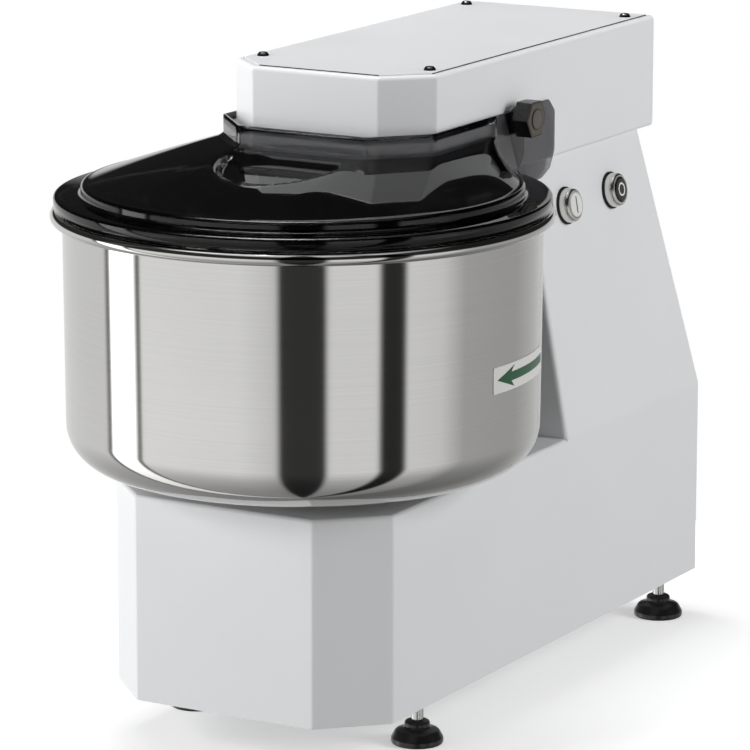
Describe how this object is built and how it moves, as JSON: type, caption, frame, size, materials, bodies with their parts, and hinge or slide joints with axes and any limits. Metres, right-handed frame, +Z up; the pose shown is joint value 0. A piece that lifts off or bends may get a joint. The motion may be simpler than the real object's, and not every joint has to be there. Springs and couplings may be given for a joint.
{
  "type": "spiral dough mixer",
  "caption": "Counter-top spiral dough mixer: turning steel bowl on a painted base, fixed head with spiral hook and bar, tilting smoked lid, push buttons, levelling feet.",
  "frame": {"origin": "on the floor under the middle of the machine", "axes": "+Z up, the bowl end towards -Y, the push buttons on the +X side"},
  "size_m": [0.3805, 0.6508, 0.5081],
  "materials": {
    "white_coat": "satin powder coat",
    "stainless": "satin to polished stainless steel",
    "steel": "machined steel",
    "zinc_steel": "bright zinc plate",
    "bare_plate": "grey primer",
    "smoked_plastic": "smoked see-through, polished",
    "black_plastic": "moulded, fine texture",
    "knob_plastic": "moulded",
    "nylon": "natural",
    "chrome_trim": "satin chrome",
    "white_plastic": "smooth",
    "black_gloss": "smooth",
    "gasket_rubber": "matt",
    "cast_alloy": "as cast",
    "motor_paint": "satin",
    "winding": "varnished copper and laminations",
    "foot_plastic": "moulded",
    "label_film": "printed film"
  },
  "bodies": {
    "machine": {"base_casing": "white_coat", "base_plate": "bare_plate", "foot_lock_nuts": "zinc_steel", "rear_cover": "white_coat", "cover_screws": "zinc_steel", "cable_gland": "black_plastic", "head_shell": "white_coat", "head_support_plate": "bare_plate", "head_cover": "white_coat", "head_bolts": "zinc_steel", "breaker_bar": "stainless", "breaker_bar_nut": "zinc_steel", "spiral_bearing_housing": "cast_alloy", "spiral_bearings": "steel", "main_bearing_housing": "cast_alloy", "drive_bearings": "steel", "bowl_bearing_housing": "cast_alloy", "bowl_bearings": "steel", "gearbox_housing": "cast_alloy", "gearbox_lid": "cast_alloy", "gearbox_stands": "steel", "motor_housing": "motor_paint", "motor_stator": "winding", "run_capacitor": "black_plastic", "control_box": "black_plastic", "side_guards": "smoked_plastic", "hinge_bushes": "nylon", "lid_microswitch": "black_plastic", "button_bezels": "chrome_trim", "button_gaskets": "gasket_rubber", "button_lock_nuts": "zinc_steel", "contact_blocks": "black_plastic", "lower_chain": "steel", "upper_chain": "steel"},
    "bowl_unit": {"bowl": "stainless", "bowl_hub": "steel", "bowl_hub_bolts": "stainless", "bowl_sprocket": "steel", "rotation_label": "label_film"},
    "spiral_unit": {"spiral_hook": "stainless", "spiral_shaft": "steel", "spiral_sprocket": "steel", "spiral_shaft_nut": "zinc_steel"},
    "upright_shaft": {"main_shaft": "steel", "upper_drive_sprocket": "steel", "lower_drive_sprocket": "steel", "second_stage_gear": "steel"},
    "intermediate": {"intermediate_shaft": "steel", "first_stage_gear": "steel"},
    "rotor": {"motor_rotor": "steel"},
    "lid_unit": {"lid": "smoked_plastic", "hinge_knobs": "knob_plastic", "hinge_pins": "zinc_steel", "interlock_cam": "nylon"},
    "start_cap": {"start_button": "white_plastic"},
    "stop_cap": {"stop_button": "black_gloss"},
    "foot_front_left": {"levelling_foot_front_left": "foot_plastic"},
    "foot_front_right": {"levelling_foot_front_right": "foot_plastic"},
    "foot_rear_left": {"levelling_foot_rear_left": "foot_plastic"},
    "foot_rear_right": {"levelling_foot_rear_right": "foot_plastic"}
  },
  "joints": [
    {"name": "bowl_turn", "type": "hinge", "parent": "machine", "child": "bowl_unit", "pos_m": [0, -0.1351, 0.23], "axis": [0, 0, -1], "continuous": true, "deforming": ["lower_chain", "upper_chain"]},
    {"name": "spiral_turn", "type": "hinge", "parent": "machine", "child": "spiral_unit", "pos_m": [0, -0.03032, 0.4], "axis": [0, 0, -1], "continuous": true},
    {"name": "upright_shaft_turn", "type": "hinge", "parent": "machine", "child": "upright_shaft", "pos_m": [0, 0.21098, 0.3], "axis": [0, 0, -1], "continuous": true},
    {"name": "intermediate_turn", "type": "hinge", "parent": "machine", "child": "intermediate", "pos_m": [0.04772, 0.15574, 0.16], "axis": [0, 0, -1], "continuous": true},
    {"name": "motor_turn", "type": "hinge", "parent": "machine", "child": "rotor", "pos_m": [0, 0.1289, 0.28], "axis": [0, 0, -1], "continuous": true},
    {"name": "lid_tilt", "type": "hinge", "parent": "machine", "child": "lid_unit", "pos_m": [0, 0.0324, 0.456], "axis": [-1, 0, 0], "range_deg": [0, 65]},
    {"name": "start_press", "type": "slide", "parent": "machine", "child": "start_cap", "axis": [-0.9858, 0, -0.1681], "range_m": [0, 0.003], "stiffness_N_per_m": 300, "springref_m": -0.003},
    {"name": "stop_press", "type": "slide", "parent": "machine", "child": "stop_cap", "axis": [-0.9858, 0, -0.1681], "range_m": [0, 0.003], "stiffness_N_per_m": 300, "springref_m": -0.003},
    {"name": "foot_front_left_turn", "type": "hinge", "parent": "machine", "child": "foot_front_left", "pos_m": [-0.0985, -0.1331, 0.02], "axis": [0, 0, 1], "continuous": true},
    {"name": "foot_front_right_turn", "type": "hinge", "parent": "machine", "child": "foot_front_right", "pos_m": [0.0985, -0.1331, 0.02], "axis": [0, 0, 1], "continuous": true},
    {"name": "foot_rear_left_turn", "type": "hinge", "parent": "machine", "child": "foot_rear_left", "pos_m": [-0.0985, 0.2809, 0.02], "axis": [0, 0, 1], "continuous": true},
    {"name": "foot_rear_right_turn", "type": "hinge", "parent": "machine", "child": "foot_rear_right", "pos_m": [0.0985, 0.2809, 0.02], "axis": [0, 0, 1], "continuous": true}
  ],
  "couplings": [
    {"joint": "spiral_turn", "follows": "bowl_turn", "ratio": 5},
    {"joint": "upright_shaft_turn", "follows": "bowl_turn", "ratio": 5},
    {"joint": "intermediate_turn", "follows": "bowl_turn", "ratio": -19.333},
    {"joint": "motor_turn", "follows": "bowl_turn", "ratio": 74.756}
  ]
}
